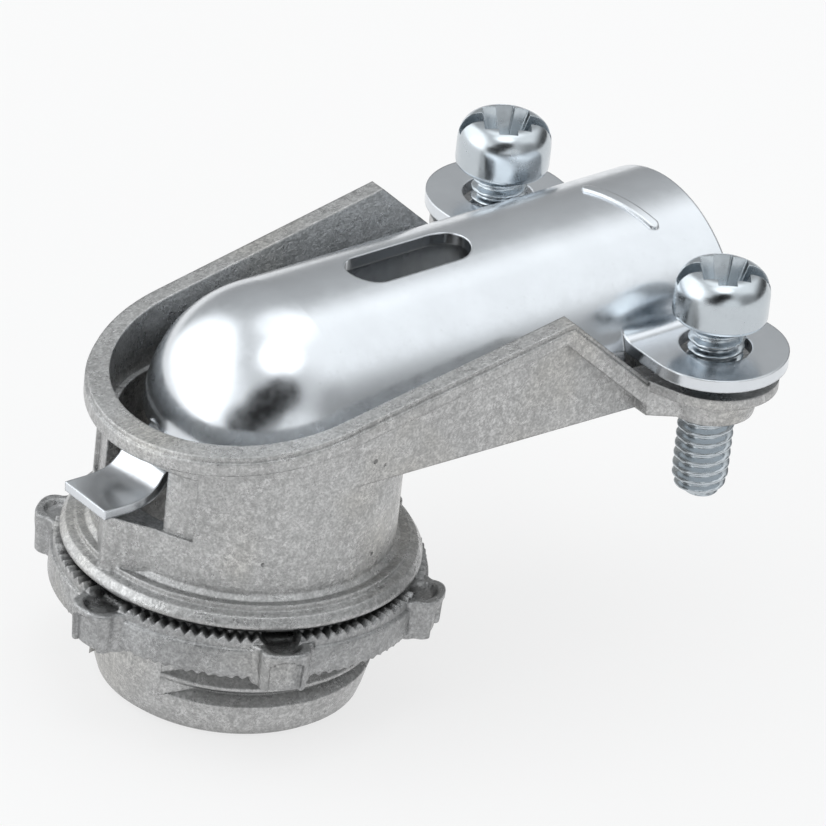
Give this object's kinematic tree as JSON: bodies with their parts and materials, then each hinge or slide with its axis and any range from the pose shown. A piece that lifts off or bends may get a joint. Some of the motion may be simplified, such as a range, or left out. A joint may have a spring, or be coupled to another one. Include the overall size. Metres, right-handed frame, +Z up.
{
  "type": "squeeze conduit connector",
  "caption": "Right-angle squeeze connector for flexible conduit: threaded hub with a toothed locknut, an open elbow body and a domed clamp strap drawn down by screws.",
  "frame": {"origin": "on the hub axis, in the plane of the flange's seating face", "axes": "+Z up along the hub axis towards the tray, +X along the conduit towards its open end, the part is the same on both sides of y = 0 except for the locknut's turn"},
  "size_m": [0.0519, 0.0364, 0.0315],
  "materials": {
    "cast_body": "matte as-cast",
    "plated_sheet": "bright zinc plate",
    "plated_screw": "bright zinc plate",
    "cast_nut": "matte as-cast"
  },
  "bodies": {
    "body": {"connector_body": "cast_body"},
    "strap": {"clamp_strap": "plated_sheet"},
    "near_screw": {"near_clamp_screw": "plated_screw"},
    "far_screw": {"far_clamp_screw": "plated_screw"},
    "nut": {"locknut": "cast_nut"}
  },
  "joints": [
    {"name": "strap_hinge", "type": "hinge", "parent": "body", "child": "strap", "pos_m": [-0.0103, 0, 0.008], "axis": [0, -1, 0], "range_deg": [-0.9, 1.4]},
    {"name": "near_screw_slide", "type": "slide", "parent": "body", "child": "near_screw", "axis": [0, 0, 1], "range_m": [-0.0011, 0.009]},
    {"name": "far_screw_slide", "type": "slide", "parent": "body", "child": "far_screw", "axis": [0, 0, 1], "range_m": [-0.0011, 0.009]},
    {"name": "locknut_slide", "type": "slide", "parent": "body", "child": "nut", "axis": [0, 0, -1], "range_m": [0, 0.012]}
  ]
}
